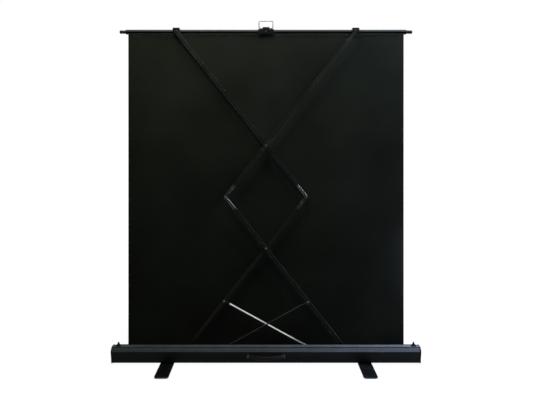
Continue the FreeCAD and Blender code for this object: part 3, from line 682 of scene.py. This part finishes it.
def carryStrap():
    low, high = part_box("carry_strap")
    half = (high.x - low.x) / 2
    middle = (low.z + high.z) / 2
    thickness = strapLook["thicknessMm"] * mm
    rib = strapLook["ribHeightMm"] * mm
    bulge = (high.y - low.y) - thickness
    radius = (half ** 2 + bulge ** 2) / (2 * bulge)
    centre = (0, low.y + thickness + radius, 0)
    sweep = 2 * math.asin(half / radius)
    bpy.ops.object.select_all(action="DESELECT")
    bpy.ops.mesh.primitive_plane_add(size=1, location=(0, low.y + (thickness + rib) / 2, middle),
                                     rotation=(0, math.radians(90), 0))
    strap = bpy.context.object
    strap.name = "carry_strap_vinyl"
    strap.scale = (high.z - low.z, thickness - rib, 1)
    placed(strap)
    bpy.ops.object.mode_set(mode="EDIT")
    bpy.ops.mesh.select_all(action="SELECT")
    bpy.ops.mesh.bevel(offset=strapLook["edgeMm"] * mm, segments=strapLook["edgeSteps"], affect="VERTICES")
    bpy.ops.mesh.select_all(action="SELECT")
    bpy.ops.transform.rotate(value=-sweep / 2, orient_axis="Z", center_override=centre)  # to the strap's right end
    bpy.ops.mesh.spin(steps=strapLook["steps"], angle=sweep, center=centre, axis=(0, 0, 1))
    bpy.ops.mesh.select_all(action="SELECT")
    bpy.ops.mesh.remove_doubles(threshold=roundLook["mergeMm"] * mm)
    bpy.ops.mesh.normals_make_consistent(inside=False)
    bpy.ops.object.mode_set(mode="OBJECT")
    reach = (high.z - low.z) * strapLook["middleShare"]
    for face in strap.data.polygons:  # the outer flat, for the raised middle
        face.select = face.normal.y < -strapLook["outward"] and abs(face.center.z - middle) < reach
    bpy.ops.object.mode_set(mode="EDIT")
    bpy.ops.mesh.select_mode(type="FACE")
    bpy.ops.mesh.inset(thickness=strapLook["ribInsetMm"] * mm, depth=0)
    bpy.ops.mesh.inset(thickness=rib, depth=rib)
    bpy.ops.object.mode_set(mode="OBJECT")
    smooth(strap, 40)
    paint(strap, vinyl)
    belongs(strap, "carry_strap")


carryStrap()
print("strap made")


# Stage: pale floor that keeps a soft shadow near the part and turns to plain white further out
stageLook = {
    "floorSize": 14.0, "paper": "#484848", "nearOwnLight": 0.55, "nearStrength": 1.75, "nearReach": 1.2,
    "farReach": 2.4, "ambient": 0.035, "flag": "#1a1a1a", "flagPlace": (0, -5.5, 4.0), "flagSize": 12,
}


def seenShare(tree):  # 1 where the camera sees a surface, straight or by mirror or glass
    path = addNode(tree, "ShaderNodeLightPath")
    seen = addNode(tree, "ShaderNodeMath", {0: path.outputs["Is Camera Ray"], 1: path.outputs["Is Glossy Ray"]},
                   operation="MAXIMUM")
    return addNode(tree, "ShaderNodeMath", {0: seen.outputs["Value"], 1: path.outputs["Is Transmission Ray"]},
                   operation="MAXIMUM").outputs["Value"]


def stageWhite():
    material, tree = startMaterial("stagePaperWhite")
    coords = addNode(tree, "ShaderNodeTexCoord")
    reach = addNode(tree, "ShaderNodeVectorMath", {0: coords.outputs["Object"]}, operation="LENGTH")
    ownLight = addNode(tree, "ShaderNodeMapRange", {
        "Value": reach.outputs["Value"],
        "From Min": stageLook["nearReach"], "From Max": stageLook["farReach"],
        "To Min": stageLook["nearOwnLight"], "To Max": 1.0,
    })
    strength = addNode(tree, "ShaderNodeMapRange", {
        "Value": reach.outputs["Value"],
        "From Min": stageLook["nearReach"], "From Max": stageLook["farReach"],
        "To Min": stageLook["nearStrength"], "To Max": 1.0,
    })
    share = addNode(tree, "ShaderNodeMath", {0: seenShare(tree), 1: ownLight.outputs["Result"]},
                    operation="MULTIPLY")
    paper = addNode(tree, "ShaderNodeBsdfDiffuse", {"Color": linear(stageLook["paper"])})
    own = addNode(tree, "ShaderNodeEmission", {"Color": (1, 1, 1, 1), "Strength": strength.outputs["Result"]})
    mixed = addNode(tree, "ShaderNodeMixShader", {
        0: share.outputs["Value"], 1: paper.outputs["BSDF"], 2: own.outputs["Emission"],
    })
    addNode(tree, "ShaderNodeOutputMaterial", {"Surface": mixed.outputs["Shader"]})
    return material


def stageSheet(name, location, rotation, size, finish):
    bpy.ops.object.select_all(action="DESELECT")
    bpy.ops.mesh.primitive_plane_add(size=size, location=location, rotation=rotation)
    sheet = bpy.context.object
    sheet.name = name
    placed(sheet)
    paint(sheet, finish)
    return sheet


stageSheet("stage_floor", (0, 0, 0), (0, 0, 0), stageLook["floorSize"], stageWhite())

world = bpy.data.worlds.new("studioWorld")
bpy.context.scene.world = world
world.use_nodes = True
worldTree = world.node_tree
worldTree.nodes.clear()
ambient = addNode(worldTree, "ShaderNodeBackground", {"Color": (1, 1, 1, 1), "Strength": stageLook["ambient"]})
white = addNode(worldTree, "ShaderNodeBackground", {"Color": (1, 1, 1, 1), "Strength": 1.0})
mixed = addNode(worldTree, "ShaderNodeMixShader", {
    0: seenShare(worldTree), 1: ambient.outputs["Background"], 2: white.outputs["Background"],
})
addNode(worldTree, "ShaderNodeOutputWorld", {"Surface": mixed.outputs["Shader"]})

# a dark flag behind the camera, unseen by it, that the glossy pieces mirror
flagMaterial, flagTree = startMaterial("stageFlagBlack")
flagCloth = addNode(flagTree, "ShaderNodeBsdfDiffuse", {"Color": linear(stageLook["flag"])})
addNode(flagTree, "ShaderNodeOutputMaterial", {"Surface": flagCloth.outputs["BSDF"]})
flag = stageSheet("stage_flag", stageLook["flagPlace"], (math.radians(90), 0, 0), stageLook["flagSize"], flagMaterial)
flag.visible_camera = False
flag.visible_shadow = False


def lamp(name, place, target, width, watts, colour="#ffffff"):
    data = bpy.data.lights.new(name, "AREA")
    data.color = linear(colour)[:3]
    data.shape = "SQUARE"
    data.size = width
    data.energy = watts
    made = bpy.data.objects.new(name, data)
    bpy.context.collection.objects.link(made)
    made.location = place
    made.rotation_euler = (Vector(target) - Vector(place)).to_track_quat("-Z", "Y").to_euler()
    return made


lamp("overheadSoft", (-0.5, -0.8, 3.7), (-0.1, 0, 1.0), 1.2, 118, "#fff9ea")
lamp("sideCool", (1.8, -0.5, 3.1), (0.3, 0, 0.9), 0.7, 120, "#d0deff")
# a small cool light beside the case, which leaves no mirror spot
lowCool = lamp("lowCool", (1.2, 0.02, 0.75), (0.6, -0.05, 0.1), 0.02, 46, "#ccd0ff")
lowCool.visible_camera = False
lowCool.visible_glossy = False
lamp("viewingSideSoft", (0.3, 2.7, 3.3), (0, 0, 1.1), 1.8, 160)
print("stage and lamps set")

# Camera: level, a little over screen middle, with the frame moved down
cameraLook = {"distance": 3.2, "height": 1.4335, "focalPx": 490, "framePx": 533, "horizonPx": 59, "sidePx": 0.5}
cameraData = bpy.data.cameras.new("photoCamera")
cameraData.sensor_width = 36
cameraData.lens = cameraLook["focalPx"] / cameraLook["framePx"] * cameraData.sensor_width
cameraData.shift_y = -cameraLook["horizonPx"] / cameraLook["framePx"]
cameraData.shift_x = cameraLook["sidePx"] / cameraLook["framePx"]
camera = bpy.data.objects.new("photoCamera", cameraData)
bpy.context.collection.objects.link(camera)
camera.location = (0, -cameraLook["distance"], cameraLook["height"])
camera.rotation_euler = (math.radians(90), 0, 0)
bpy.context.scene.camera = camera
bpy.context.scene.view_settings.view_transform = "Standard"
